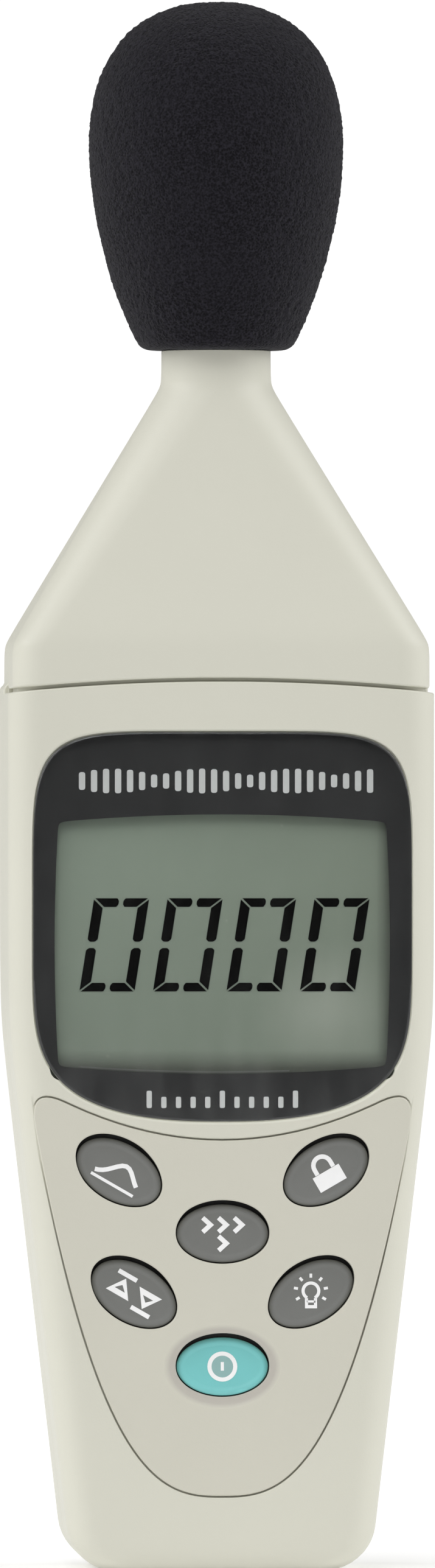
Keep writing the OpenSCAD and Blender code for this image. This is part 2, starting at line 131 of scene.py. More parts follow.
def full_turn(steps):
    return angles(0, 360 - 360 / steps, steps - 1)


def turned(points, x, z, angle):
    """Points in X and Z, turned by an angle in radians and moved to (x, z)."""
    c, s = cos(angle), sin(angle)
    return [(x + u * c - v * s, z + u * s + v * c) for u, v in points]


def joined(*shapes):
    verts, faces = [], []
    for more, polygons in shapes:
        base = len(verts)
        verts += more
        faces += [[i + base for i in face] for face in polygons]
    return verts, faces


def loft(rings, caps=True, closed=False):
    """Skin through a row of rings with the same number of points. closed joins the last to the first."""
    n, count = len(rings[0]), len(rings)
    faces = []
    for j in range(count if closed else count - 1):
        a, b = j * n, (j + 1) % count * n
        faces += [[a + i, a + (i + 1) % n, b + (i + 1) % n, b + i] for i in range(n)]
    if caps and not closed:
        faces += [list(range(n)), list(range((count - 1) * n, count * n))]
    return [p for ring in rings for p in ring], faces


def prism(outline, profile):
    """A solid with a flat outline in X and Z: profile gives how far the outline grows at each Y."""
    return loft([[(x, y, z) for x, z in outline(grow)] for grow, y in profile])


def tower(outline, levels):
    """A solid with a flat outline in X and Y: levels gives how far the outline grows at each Z."""
    return loft([[(x, y, z) for x, y in outline(grow)] for grow, z in levels])


def lathe(profile, x=0.0, z=0.0, upright=False, steps=64, closed=False):
    """A turned solid about an axis along Y through (x, z), or along Z, from (radius, place) pairs."""
    turn = full_turn(steps)
    if upright:
        rings = [[(r * cos(a), r * sin(a), h) for a in turn] for r, h in profile]
    else:
        rings = [[(x + r * cos(a), h, z + r * sin(a)) for a in turn] for r, h in profile]
    return loft(rings, closed=closed)


def rod(r, y0, y1, x, z):
    return lathe([(r, y0), (r, y1)], x, z, steps=48)


def plate(points, y0, y1):
    return prism(lambda grow: points, [(0, y0), (0, y1)])


def box(x, y, z):
    return plate([(x[0], z[0]), (x[1], z[0]), (x[1], z[1]), (x[0], z[1])], *y)


def oval(key, a=KEY_A, b=KEY_B):
    """Outline of a tilted oval, as a function of how far it grows."""
    x, z, tilt = key

    def outline(grow):
        points = [((a + grow) * cos(t), (b + grow) * sin(t)) for t in full_turn(72)]
        return turned(points, x, z, radians(tilt))
    return outline


def key_opening(key):
    """Outline of the hole round a key, wider above it than below."""
    outline = oval(key)

    def opening(grow):
        points = outline(grow)
        return [(x, z + KEY_SAG * min(max((z - key[1]) / KEY_B + 0.3, 0), 1)) for x, z in points]
    return opening


def rounded(x0, x1, z0, z1, r, steps=8):
    """Outline of a rectangle with round corners."""
    def outline(grow):
        turn = max(r + grow, 0.02)
        centres = [(x1 - r, z1 - r), (x0 + r, z1 - r), (x0 + r, z0 + r), (x1 - r, z0 + r)]
        return [
            (cx + turn * cos(a), cz + turn * sin(a))
            for i, (cx, cz) in enumerate(centres)
            for a in angles(90 * i, 90 * i + 90, steps)
        ]
    return outline


def signed_power(value, power):
    return copysign(abs(value) ** power, value)


def lens_outline(grow):
    """Squarish above, sweeping to a long curve below."""
    points = []
    for a in angles(0.5, 359.5, 239):
        p, q = (6, 6) if sin(a) > 0 else (2.5, 4.8)
        x = (LENS_W + grow) * signed_power(cos(a), 2 / p)
        points.append((x, LENS_Z + (LENS_H + grow) * signed_power(sin(a), 2 / q)))
    return points


def panel_side(u):
    return 25.5 * u, 10.1 + 51 * u ** 2.78


def panel_top(x):
    return x, 57.8 + 0.0115 * x * x


def bend(a, b, c, t):
    return tuple(p * (1 - t) ** 2 + q * 2 * t * (1 - t) + r * t * t for p, q, r in zip(a, b, c))


def panel_outline(grow):
    """Straight tapering sides, a round bottom and a hollow top edge."""
    half = [panel_side(0.98 * i / 40) for i in range(41)]
    half += [bend(panel_side(0.99), (26, 65.2), panel_top(21), i / 10) for i in range(11)]
    half += [panel_top(x) for x in range(20, 0, -2)]
    points = half + [panel_top(0)] + [(-x, z) for x, z in reversed(half[1:])]
    grown = []
    for i, (x, z) in enumerate(points):
        ax, az = points[i - 1]
        bx, bz = points[(i + 1) % len(points)]
        length = hypot(bx - ax, bz - az)
        grown.append((x + grow * (bz - az) / length, z - grow * (bx - ax) / length))
    return grown


def flare(lip, steps=4):
    """(outwards, inwards) places round an opening's lip, from its mouth to its straight wall."""
    return [(lip - lip * sin(a), lip - lip * cos(a)) for a in angles(12, 90, steps)]


def recess(outline, depth, play, lip, top=FACE):
    """What is cut out for an inlaid piece: straight walls and a round lip."""
    edge = [(play + out, top + down) for out, down in flare(lip, 5)]
    return prism(outline, [(edge[0][0], top - 2)] + edge + [(play, top + depth)])


# ---- casing rules
def soft_min(a, b, k):
    return (a + b - sqrt((a - b) ** 2 + k * k)) / 2


def soft_max(a, b, k):
    return (a + b + sqrt((a - b) ** 2 + k * k)) / 2


def base_pull(r, z):
    return 0 if z >= r else r - sqrt(max(r * r - (r - z) ** 2, 0))


def body_w(z):
    return soft_min(19.95 + 0.116 * z, HALF_WIDTH, 0.5) - base_pull(BASE_R, z)


def head_w(z):
    slope = NECK_R + 0.1 + 0.593 * (TAPER_Z1 - z)
    return soft_max(soft_min(slope, HALF_WIDTH - 0.6, 0.4), NECK_R - 0.1, 0.4)


def face_d(depth, z):
    slope = NECK_R + (depth - NECK_R) * (TAPER_Z1 - z) / (TAPER_Z1 - TAPER_Z0)
    return soft_max(soft_min(slope, depth, 0.3), NECK_R - 0.1, 0.3) - base_pull(BASE_EDGE, z)


def seam(x):
    """How far the arched seam has dropped at x from its height in the middle."""
    return SEAM_R - sqrt(SEAM_R ** 2 - x * x)


def half_path(z, inset, side, head, part=PART):
    """Half of the casing's outline at height z, from one parting edge round the face to the other."""
    w = (1 - head) * body_w(z) + head * head_w(z) - inset
    d = face_d(FRONT_DEPTH if side < 0 else BACK_DEPTH, z) - inset
    grow = min(max((z - TAPER_Z0) / (TAPER_Z1 - TAPER_Z0), 0), 1)
    r = EDGE_R + (NECK_R - EDGE_R) * grow - inset
    r = max(min(r, w - 0.05, face_d(FRONT_DEPTH, z) - inset - 0.05), 0.3)
    start = asin(min(max((part + LIP + 0.02 - d + r) / r, 0), 1))
    edge = w - r + r * cos(start)
    right = [(edge - LIP + LIP * sin(a), part + LIP - LIP * cos(a)) for a in angles(0, 90, 3)]
    right += [
        (w - r + r * cos(a), d - r + r * sin(a))
        for a in angles(degrees(start), 90, CORNER_STEPS)
    ]
    right += [((w - r) * (1 - i / FLAT_STEPS), d) for i in range(1, FLAT_STEPS)]
    return [(x, side * y) for x, y in right + [(-x, y) for x, y in reversed(right)]]


def half_solid(levels, side, part=PART, lift=lambda x, z: 0):
    """Half of the casing as a closed solid, from (height, inset, share of the head's width) levels."""
    rings = []
    for z, inset, head in levels:
        path = half_path(z, inset, side, head, part)
        limit, y = path[0]
        back = [(max(-limit, min(limit, x)), y) for x, _ in reversed(path)][1:-1]
        rings.append([(x, y, z + lift(x, z)) for x, y in path + back])
    verts, faces = loft(rings, caps=False)
    n = len(rings[0])
    for base in (0, len(verts) - n):
        for i in range(n // 2):
            quad = [i, i + 1, (n - i - 1) % n, (n - i) % n]
            faces.append([base + k for k in dict.fromkeys(quad)])
    return verts, faces


def band(z0, z1, inset0, inset1, side, head, lift):
    """Thin wall that follows the inside of the casing."""
    outer = half_path(z0, inset0, side, head)
    inner = half_path(z0, inset1, side, head)
    rings = []
    for (ax, ay), (bx, by) in zip(outer, inner):
        rings.append([
            (ax, ay, z0 + lift(ax, z0)), (ax, ay, z1 + lift(ax, z1)),
            (bx, by, z1 + lift(bx, z1)), (bx, by, z0 + lift(bx, z0)),
        ])
    return loft(rings)


# ---- objects
def linked(name, data):
    made = bpy.data.objects.new(name, data)
    bpy.context.scene.collection.objects.link(made)
    return made


def raw(name, shape, skin=None):
    """A mesh object in metres, welded, with its normals outwards, in one of the finishes."""
    mesh = bpy.data.meshes.new(name)
    mesh.from_pydata([Vector(p) * MM for p in shape[0]], [], shape[1])
    work = bmesh.new()
    work.from_mesh(mesh)
    bmesh.ops.remove_doubles(work, verts=work.verts, dist=0.0005 * MM)
    bmesh.ops.recalc_face_normals(work, faces=work.faces)
    work.to_mesh(mesh)
    work.free()
    if skin:
        mesh.materials.append(SKINS[skin])
    return linked(name, mesh)


def bake(piece):
    """Applies the piece's modifiers."""
    graph = bpy.context.evaluated_depsgraph_get()
    mesh = bpy.data.meshes.new_from_object(piece.evaluated_get(graph))
    piece.modifiers.clear()
    piece.data = mesh


def combine(piece, shape, operation="DIFFERENCE"):
    tool = raw("tool", shape)
    modifier = piece.modifiers.new("cut", "BOOLEAN")
    modifier.operation = operation
    modifier.object = tool
    modifier.solver = "EXACT"
    bake(piece)
    bpy.data.objects.remove(tool)


def extend(piece, shape):
    """Adds separate closed solids to a piece."""
    extra = raw("extra", shape)
    work = bmesh.new()
    work.from_mesh(piece.data)
    work.from_mesh(extra.data)
    work.to_mesh(piece.data)
    work.free()
    bpy.data.objects.remove(extra)


def place(piece, body, slot, *stands_for, crease=35, weighted=True):
    """Smooth shading up to a crease angle, then the piece's body and the CAD nodes it stands for; slot is
    not used.
    """
    piece.data.polygons.foreach_set("use_smooth", [True] * len(piece.data.polygons))
    piece.data.set_sharp_from_angle(angle=radians(crease))
    if weighted:
        modifier = piece.modifiers.new("normals", "WEIGHTED_NORMAL")
        modifier.keep_sharp = True
    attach(piece, body)
    if stands_for:
        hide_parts(*stands_for)


# ---- materials
def rgb(r, g, b):
    """A screen colour from 0 to 255 as the linear values that shaders take."""
    return tuple(((c / 255 + 0.055) / 1.055) ** 2.4 if c > 10 else c / 3294.6 for c in (r, g, b)) + (1,)


def shade(colour, share):
    return tuple(min(c * share, 1) for c in colour[:3]) + (1,)


class Graph:
    """The node tree of a material or a world, built by short calls."""

    def __init__(self, owner):
        owner.use_nodes = True
        self.tree = owner.node_tree
        self.tree.nodes.clear()

    def add(self, kind, values=None, **settings):
        node = self.tree.nodes.new("ShaderNode" + kind)
        for name, value in settings.items():
            setattr(node, name, value)
        for socket, value in (values or {}).items():
            if isinstance(value, bpy.types.NodeSocket):
                self.tree.links.new(value, node.inputs[socket])
            else:
                node.inputs[socket].default_value = value
        return node

    def remap(self, value, low, high, to_low=0.0, to_high=1.0):
        values = {"Value": value, "From Min": low, "From Max": high, "To Min": to_low, "To Max": to_high}
        return self.add("MapRange", values).outputs[0]


class Finish(Graph):
    """A material whose patterns follow the object, with their sizes in millimetres."""

    def __init__(self, name):
        self.material = bpy.data.materials.new(name)
        super().__init__(self.material)
        self.place = self.add("TexCoord").outputs["Object"]

    def noise(self, size, detail=3.0, stretch=(1, 1, 1)):
        """Cloudy noise whose features are about size millimetres wide."""
        place = self.add("Mapping", {"Vector": self.place, "Scale": stretch}).outputs[0]
        values = {"Vector": place, "Scale": 1 / (size * MM), "Detail": detail}
        return self.add("TexNoise", values).outputs[0]

    def cells(self, size):
        values = {"Vector": self.place, "Scale": 1 / (size * MM)}
        return self.add("TexVoronoi", values).outputs["Distance"]

    def times(self, a, b):
        return self.add("Math", {0: a, 1: b}, operation="MULTIPLY").outputs[0]

    def mix(self, share, a, b):
        return self.add("Mix", {0: share, 6: a, 7: b}, data_type="RGBA").outputs[2]

    def axis(self, name):
        return self.add("SeparateXYZ", {0: self.place}).outputs[name]

    def inside_oval(self, x, z, a, b, fade=0.92):
        """1 inside an oval and 0 outside it, from the share of its size where it starts to fade."""
        scale = (1 / (a * MM), 0, 1 / (b * MM))
        values = {"Vector": self.place, "Location": (-x / a, 0, -z / b), "Scale": scale}
        place = self.add("Mapping", values).outputs[0]
        length = self.add("VectorMath", {0: place}, operation="LENGTH").outputs["Value"]
        return self.remap(length, fade, 1.02, 1, 0)

    def edges(self, amount):
        """Where the surface has a convex edge, broken up by noise."""
        point = self.add("NewGeometry").outputs["Pointiness"]
        return self.times(self.remap(point, 0.53, 0.62, 0, amount), self.noise(3))

    def bump(self, height, depth):
        return self.add("Bump", {"Height": height, "Distance": depth * MM, "Strength": 1.0}).outputs[0]

    def surface(self, base, rough, normal=None, **fixed):
        values = {"Base Color": base, "Roughness": rough}
        values.update({name.replace("_", " "): value for name, value in fixed.items()})
        if normal:
            values["Normal"] = normal
        shader = self.add("BsdfPrincipled", values).outputs[0]
        self.show(shader)
        return self.material

    def show(self, shader):
        self.add("OutputMaterial", {"Surface": shader})


def moulded(
    name, colour, rough=0.5, mottle=0.03, patch=14, grain=0.012, grain_size=0.3,
    wear=0.5, shade_oval=None, **fixed,
):
    """Moulded plastic, rubber or a cast part: faint clouding, fine texture, lighter edges and an optional
    oval of painted shade.
    """
    f = Finish(name)
    cloud = f.noise(patch)
    base = f.mix(cloud, shade(colour, 1 - mottle), shade(colour, 1 + mottle))
    # Painted shade: an oval tinted darker, standing in for the shade in a shallow dish.
    if shade_oval:
        base = f.mix(f.inside_oval(*shade_oval[:4]), base, shade_oval[4])
    if wear:
        base = f.mix(f.edges(wear), base, shade(colour, 1.25))
    fine = f.noise(grain_size, 2)
    gloss = f.remap(fine, 0.3, 0.7, rough - 0.05, rough + 0.05)
    return f.surface(base, gloss, f.bump(fine, grain), **fixed)


def metal(name, colour, rough=0.28, brush=(1, 1, 12), brush_size=0.6, **fixed):
    """Plated or turned metal with fine marks along one axis."""
    f = Finish(name)
    marks = f.noise(brush_size, 4, brush)
    base = f.mix(f.noise(5), shade(colour, 0.9), shade(colour, 1.06))
    gloss = f.remap(marks, 0.3, 0.7, rough - 0.08, rough + 0.1)
    return f.surface(base, gloss, f.bump(marks, 0.006), Metallic=1.0, **fixed)


def foam_finish(colour):
    """Open-cell foam: pores with painted shade, a lighter fuzz on the ridges and no gloss."""
    f = Finish("windscreen_foam")
    pores = f.remap(f.cells(0.42), 0.2, 0.5)
    fuzz = f.noise(0.3, 6)
    base = f.mix(f.remap(fuzz, 0.38, 0.62), shade(colour, 0.45), shade(colour, 1.7))
    # Painted shade: the pores darkened, as shade falls into them.
    base = f.mix(f.remap(pores, 0, 1, 0.8, 0), base, shade(colour, 0.25))
    base = f.mix(f.remap(f.noise(8), 0.3, 0.7, 0, 0.3), base, shade(colour, 1.3))
    rise = f.add("Math", {0: f.times(fuzz, 0.6), 1: f.times(pores, 0.4)}, operation="ADD").outputs[0]
    fixed = {"Sheen_Weight": 0.06, "Sheen_Roughness": 0.6, "Specular_IOR_Level": 0.05}
    return f.surface(base, 1.0, f.bump(rise, 0.16), **fixed)


def mask_finish(colour):
    """Dark print behind the lens, with faint lighter specks."""
    f = Finish("mask_print")
    specks = f.remap(f.cells(4.5), 0.02, 0.09, 0.55, 0)
    base = f.mix(f.noise(7), shade(colour, 0.8), shade(colour, 1.25))
    base = f.mix(f.times(specks, f.noise(12)), base, rgb(120, 118, 116))
    return f.surface(base, f.remap(f.noise(0.5), 0.3, 0.7, 0.42, 0.55), Specular_IOR_Level=0.05)


def lcd_finish(colour):
    """Grey-green display glass: faint clouds and specks, painted shade towards the right and the bottom,
    a painted pool of light at the lower right, and painted shadow along its lower and right edges.
    """
    f = Finish("lcd_glass")
    cloud = f.noise(10, 4)
    base = f.mix(cloud, shade(colour, 0.93), shade(colour, 1.06))
    # Painted shade: darker and greyer towards the right.
    side = f.remap(f.axis("X"), -22 * MM, 22 * MM, 0, 0.5)
    base = f.mix(side, base, rgb(128, 136, 123))
    # Painted shade: darker towards the bottom.
    base = f.mix(f.remap(f.axis("Z"), 92 * MM, 66 * MM, 0, 0.5), base, rgb(120, 128, 118))
    # Painted light: a pale pool of light at the lower right.
    base = f.mix(f.times(f.inside_oval(14, 75, 10, 9, 0.1), 0.8), base, rgb(158, 164, 154))
    base = f.mix(f.remap(f.cells(5.2), 0.015, 0.05, 0.35, 0), base, rgb(165, 172, 160))
    # Painted shadow along the lower and right edges of the glass.
    base = f.mix(f.remap(f.axis("Z"), 69.6 * MM, 67.2 * MM, 0, 0.85), base, rgb(84, 86, 80))
    base = f.mix(f.remap(f.axis("X"), 20.6 * MM, 22.2 * MM, 0, 0.75), base, rgb(84, 88, 82))
    return f.surface(base, f.remap(f.noise(0.4), 0.3, 0.7, 0.45, 0.55), Specular_IOR_Level=0.15)


def clear_finish(tint):
    """Clear acrylic that lets lamps through, with faint wipe marks in its gloss."""
    f = Finish("lens")
    gloss = f.remap(f.noise(3, 4, (1, 1, 0.25)), 0.35, 0.75, 0.02, 0.09)
    values = {"Base Color": tint, "Roughness": gloss, "IOR": 1.49, "Transmission Weight": 1.0}
    glass = f.add("BsdfPrincipled", values).outputs[0]
    open_way = f.add("BsdfTransparent", {"Color": tint}).outputs[0]
    shadow = f.add("LightPath").outputs["Is Shadow Ray"]
    f.show(f.add("MixShader", {0: shadow, 1: glass, 2: open_way}).outputs[0])
    return f.material


def board_finish():
    """Green solder mask over copper tracks."""
    f = Finish("circuit_board")
    tracks = f.add("TexBrick", {
        "Vector": f.place, "Scale": 260.0, "Mortar Size": 0.012, "Color1": rgb(14, 84, 50),
        "Color2": rgb(18, 96, 58), "Mortar": rgb(40, 128, 80),
    })
    base = f.mix(f.noise(6), tracks.outputs[0], rgb(12, 78, 46))
    return f.surface(base, f.remap(f.noise(1), 0.3, 0.7, 0.3, 0.42), f.bump(tracks.outputs[1], 0.03))


def battery_finish():
    """Printed steel jacket: a dark body, a copper-coloured top band and a thin pale line between them."""
    f = Finish("battery_jacket")
    z = f.axis("Z")
    band_z = BATTERY_TOP - 13
    top = f.remap(z, band_z * MM, (band_z + 0.05) * MM)
    line_low = f.remap(z, (band_z - 1) * MM, (band_z - 0.95) * MM)
    line = f.times(line_low, f.remap(z, band_z * MM, (band_z + 0.05) * MM, 1, 0))
    base = f.mix(f.noise(9), rgb(38, 41, 46), rgb(46, 49, 55))
    base = f.mix(top, base, rgb(176, 112, 62))
    base = f.mix(line, base, rgb(222, 220, 212))
    scuffs = f.remap(f.noise(3, 2), 0.3, 0.7, 0.32, 0.4)
    return f.surface(base, scuffs, f.bump(f.noise(0.8, 1), 0.002), Metallic=0.2)


BATTERY_TOP = corners("battery")[1].z
CASING = rgb(207, 206, 193)
PANEL = rgb(201, 199, 186)
# Painted shade in the shallow dish round the power key: a darker grey oval on the panel.
POWER_RING_SHADE = (0, KEYS["key_power"][1], KEY_A + 1.55, KEY_B + 1.55, rgb(184, 180, 171))
SKINS = {
    "casing": moulded("casing", CASING, 0.46, 0.02, 22, 0.01, 0.28, 0, Specular_IOR_Level=0.4),
    "panel": moulded("panel", PANEL, 0.5, 0.025, 16, 0.012, 0.25, 0, POWER_RING_SHADE, Specular_IOR_Level=0.4),
    "lens": clear_finish((0.95, 0.96, 0.95, 1)),
    "mask_print": mask_finish(rgb(52, 52, 53)),
    "lcd": lcd_finish(rgb(139, 150, 138)),
    "segments": moulded("segments", rgb(5, 5, 5), 0.9, 0.2, 2, 0.001, 0.4, 0, Specular_IOR_Level=0.0),
    "circuit_board": board_finish(),
    "battery_jacket": battery_finish(),
    "windscreen_foam": foam_finish(rgb(28, 27, 32)),
}
# The rest, by name: a colour, then what moulded() or metal() takes, in its order
MOULDED = {
    "ink": ((208, 210, 210), 0.6, 0.05, 1.5, 0.004, 0.2, 0),
    "key_ink": ((240, 240, 240), 0.6, 0.04, 1.5, 0.004, 0.2, 0),
    # Painted highlight colour for the lit lower edge of the display glass
    "edge_grey": ((104, 106, 104), 0.5, 0.1, 3, 0.004),
    "white_plastic": ((232, 232, 226), 0.45),
    "light_guide": ((236, 240, 230), 0.25, 0.02, 4, 0.004),
    "led": ((246, 240, 200), 0.3, 0.05, 0.6),
    "elastomer": ((196, 120, 132), 0.7, 0.12, 0.6, 0.03, 0.2),
    "chip_black": ((36, 36, 38), 0.55, 0.1, 2, 0.02, 0.15, 0.6),
    "capacitor_sleeve": ((34, 44, 96), 0.35, 0.06, 2),
    "silicone": ((208, 208, 202), 0.65, 0.04, 5, 0.02, 0.4),
    "key_grey": ((112, 113, 110), 0.52, 0.05, 3, 0.014, 0.22, 0.6),
    "key_teal": ((118, 195, 194), 0.45, 0.06, 4, 0.014, 0.22, 0.6),
    "pale_teal": ((142, 178, 176), 0.5, 0.06, 1.5, 0.004, 0.2, 0),
    "trimmer_blue": ((44, 84, 168), 0.4, 0.06, 2),
    "black_rubber": ((30, 30, 31), 0.75, 0.1, 1.2, 0.03, 0.25),
    "lead_red": ((176, 26, 24), 0.42, 0.06, 2),
    "lead_black": ((28, 28, 29), 0.42, 0.08, 2),
    "black_vinyl": ((28, 28, 30), 0.5, 0.1, 2.5, 0.03, 0.4),
    "pad_foam": ((52, 52, 54), 0.95, 0.25, 0.6, 0.12, 0.5),
}
METALS = {
    "tin_plate": ((206, 206, 208), 0.35),
    "gold_plate": ((226, 184, 92), 0.25),
    "nickel": ((200, 202, 206), 0.26),
    "brass": ((206, 166, 92), 0.3, (1, 12, 1)),
    "screw_steel": ((176, 178, 182), 0.34, (1, 8, 1)),
}
for make, table in ((moulded, MOULDED), (metal, METALS)):
    for name, (colour, *look) in table.items():
        SKINS[name] = make(name, rgb(*colour), *look)
KEPT_NODES = {
    "lens_mask": "mask_print", "lcd_glass": "lcd", "lcd_frame": "white_plastic",
    "backlight_panel": "light_guide", "backlight_leds": "led", "zebra_strips": "elastomer",
    "main_board": "circuit_board", "processor_chip": "chip_black", "op_amps": "chip_black",
    "capacitors": "capacitor_sleeve", "chip_resistors": "chip_black", "crystal_can": "tin_plate",
    "contact_pads": "gold_plate", "keypad_mat": "silicone", "cal_trimmer": "trimmer_blue",
    "cal_rotor": "white_plastic", "mic_capsule": "nickel", "mic_seal": "black_rubber",
    "mic_cable": "lead_black", "lead_red": "lead_red", "lead_black": "lead_black",
    "door_latch": "casing", "board_screws": "screw_steel",
}
SOFT_EDGES = {"door_latch": 0.15, "cal_rotor": 0.1, "capacitors": 0.3}


def dress_kept_nodes():
    """Gives the CAD parts that stay their finish, and breaks the sharp edges of some."""
    for name, skin in KEPT_NODES.items():
        node = nodes[name]
        node.data.materials.clear()
        node.data.materials.append(SKINS[skin])
        if name in SOFT_EDGES:
            bevel = node.modifiers.new("edges", "BEVEL")
            bevel.width = SOFT_EDGES[name] * MM
            bevel.segments = 2
            bevel.limit_method = "ANGLE"
            bevel.angle_limit = radians(40)


# ---- casing
BASE_LEVELS = [BASE_R * (1 - cos(a)) for a in angles(0, 90, 10)]
BODY_LEVELS = [12, 24, 36, 48, 58, 64, 67, 69, 71, 72.5, 74, 75.5, 77, 79, 82, 87, 95]
HEAD_LEVELS = [121, 122, 122.6, 123.2, 123.6, 124, 124.4, 125, 126, 128, 134, 141, 148, 153]
NECK_LEVELS = [156, 157, 157.5, 158, 158.5, 159, 160, 161.5]
# The arch of the seam fades out towards these heights
LIFT_Z0, LIFT_Z1 = 105.0, 121.0


def neck_top_levels():
    """The small round at the top of the neck."""
    turn = angles(0, 90, 4)
    return [(NECK_TOP - NECK_LIP * (1 - sin(a)), NECK_LIP * (1 - cos(a)), 1) for a in turn]


def cavity(levels, side, heads):
    return half_solid([(z, WALL, h) for z, h in zip(levels, heads)], side, part=-5)


def neck_bore():
    r = MIC_R + 0.05
    profile = [(r, NECK_FLOOR - 1), (r, NECK_TOP - 0.3), (r + 0.3, NECK_TOP), (r + 0.3, NECK_TOP + 7)]
    return lathe(profile, upright=True)


def make_front_shell():
    top = SEAM_Z - SEAM_GAP / 2

    def lift(x, z):
        return -seam(x) * max(0, z - LIFT_Z0) / (top - LIFT_Z0)
    levels = [(z, 0, 0) for z in BASE_LEVELS + BODY_LEVELS + [LIFT_Z0, 112]]
    levels += [(top - LIP + LIP * sin(a), LIP - LIP * cos(a), 0) for a in angles(0, 90, 4)]
    piece = raw("front_casing", half_solid(levels, -1, lift=lift), "casing")
    combine(piece, cavity([WALL, 3.5, 6.2, 36, 64, 71, 74, 80, 125], -1, [0] * 9))
    inlays = joined(
        recess(lens_outline, LENS_T + 0.1, 0.15, 0.35),
        recess(panel_outline, PANEL_T, 0, 0.2),
    )
    combine(piece, inlays)
    through = FACE + WALL + 1
    holes = [prism(key_opening(key), [(KEY_GAP, FACE), (KEY_GAP, through)]) for key in KEYS.values()]
    holes.append(prism(rounded(-23, 23, 65.6, 101.6, 1.5), [(0, FACE), (0, through)]))
    combine(piece, joined(*holes))
    extend(piece, joined(
        band(top - 4, top + 1.4, 1.2, WALL + 0.02, -1, 0, lift),
        *[rod(2.9, FACE + WALL - 0.5, -PART, x, z) for x, z in BODY_SCREWS],
    ))
    place(piece, "case", "casing", "front_shell")


def make_head_shell():
    bottom = SEAM_Z + SEAM_GAP / 2

    def lift(x, z):
        return -seam(x) * max(0, LIFT_Z1 - z) / (LIFT_Z1 - bottom)
    levels = [(bottom + LIP - LIP * cos(a), LIP - LIP * sin(a), 1) for a in angles(0, 90, 4)]
    levels += [(z, 0, 1) for z in HEAD_LEVELS + NECK_LEVELS]
    levels += neck_top_levels()
    piece = raw("head_casing", half_solid(levels, -1, lift=lift), "casing")
    combine(piece, cavity([110, 121, 125, 141, NECK_FLOOR], -1, [1] * 5))
    combine(piece, neck_bore())
    place(piece, "case", "casing", "head_shell")


def parting_tongue():
    """Thin inner wall that closes the parting line between the front and rear casings."""
    inset = 1.3
    half = [(head_w(z) - inset - 0.25, z) for z in (146, 135, 125, 123, 118.8)]
    half += [(body_w(z) - inset, z) for z in (117.6, 90, 76, 70, 60, 40, 20, 8)]
    half += arc(body_w(BASE_R) - BASE_R, BASE_R, BASE_R - inset, 0, -90, 8)
    return ribbon(half + [(-x, z) for x, z in reversed(half)], 1.3, -1.3, 0.6)


def counterbore(x, z):
    edge = [(SCREW_HOLE_R + out, BACK_DEPTH - down) for out, down in flare(0.35)]
    return lathe([(SCREW_HOLE_R, SEAT_Y)] + edge[::-1] + [(edge[0][0], BACK_DEPTH + 4)], x, z)


def door_outline(play, bottom, r):
    """Outline of the door or its recess: round corners above and square ones at the hinge."""
    def outline(grow):
        w = DOOR_W + play
        top = rounded(-w, w, bottom, DOOR_TOP + play, r)(grow)[:18]
        return top + [(-w - grow, bottom), (w + grow, bottom)]
    return outline


def add_rear_bosses(piece):
    """The battery bay's walls and the bosses of the tripod thread, the trimmer's hole and the screws."""
    solids = [box((-BAY_W - 0.8, BAY_W + 0.8), (-4.9, BOSS_TOP), (6.2, BAY_Z1 + 0.8))]
    solids.append(lathe([(6.2, 6.5), (6.2, BOSS_TOP)], 0, TRIPOD_Z))
    solids.append(rod(3, 0.5, BOSS_TOP, TRIMMER_X, TRIMMER_Z))
    solids += [rod(3.4, 0.2, BOSS_TOP, x, z) for x, z in BODY_SCREWS[:2]]
    solids += [rod(3.4, 0.2, 11.9, x, z) for x, z in HEAD_SCREWS]
    combine(piece, joined(*solids), "UNION")
    combine(piece, joined(*[rod(2.9, 0.2, BACK_IN - 0.5, x, z) for x, z in BODY_SCREWS[2:]]), "UNION")


def cut_rear_openings(piece):
    """The battery bay, the round holes, the neck's bore, and the door's recess, catch and sockets."""
    rim_r = INSERT_R + 0.3
    bush_hole = [(INSERT_R, 8), (INSERT_R, BACK_DEPTH - 0.2), (rim_r, BACK_DEPTH + 0.1), (rim_r, 20)]
    driver_hole = [(1.9, -1), (1.9, BACK_DEPTH - 0.3), (2.25, BACK_DEPTH + 0.05), (2.25, 20)]
    combine(piece, joined(
        box((-BAY_W, BAY_W), (-4.1, BACK_IN + 0.01), (BAY_Z0, BAY_Z1)),
        lathe(bush_hole, 0, TRIPOD_Z),
        lathe(driver_hole, TRIMMER_X, TRIMMER_Z),
        *[counterbore(x, z) for x, z in BODY_SCREWS],
        *[rod(SCREW_HOLE_R, SEAT_Y, 25, x, z) for x, z in HEAD_SCREWS],
        neck_bore(),
    ))
    edge = [(out, BACK_DEPTH - down) for out, down in flare(0.25)]
    door_hole = [(0, BACK_IN)] + edge[::-1] + [(edge[0][0], 20)]
    combine(piece, prism(door_outline(0.2, DOOR_AXIS_Z - 1.3, 1.6), door_hole))
    combine(piece, box((-4, 4), (6, 9.5), (BAY_Z1 - 1, BAY_Z1 + 2)))
    socket = [(0.66, -DOOR_W - 1.4), (0.66, DOOR_W + 1.4)]
    combine(piece, along_x(socket, DOOR_AXIS_Y, DOOR_AXIS_Z))


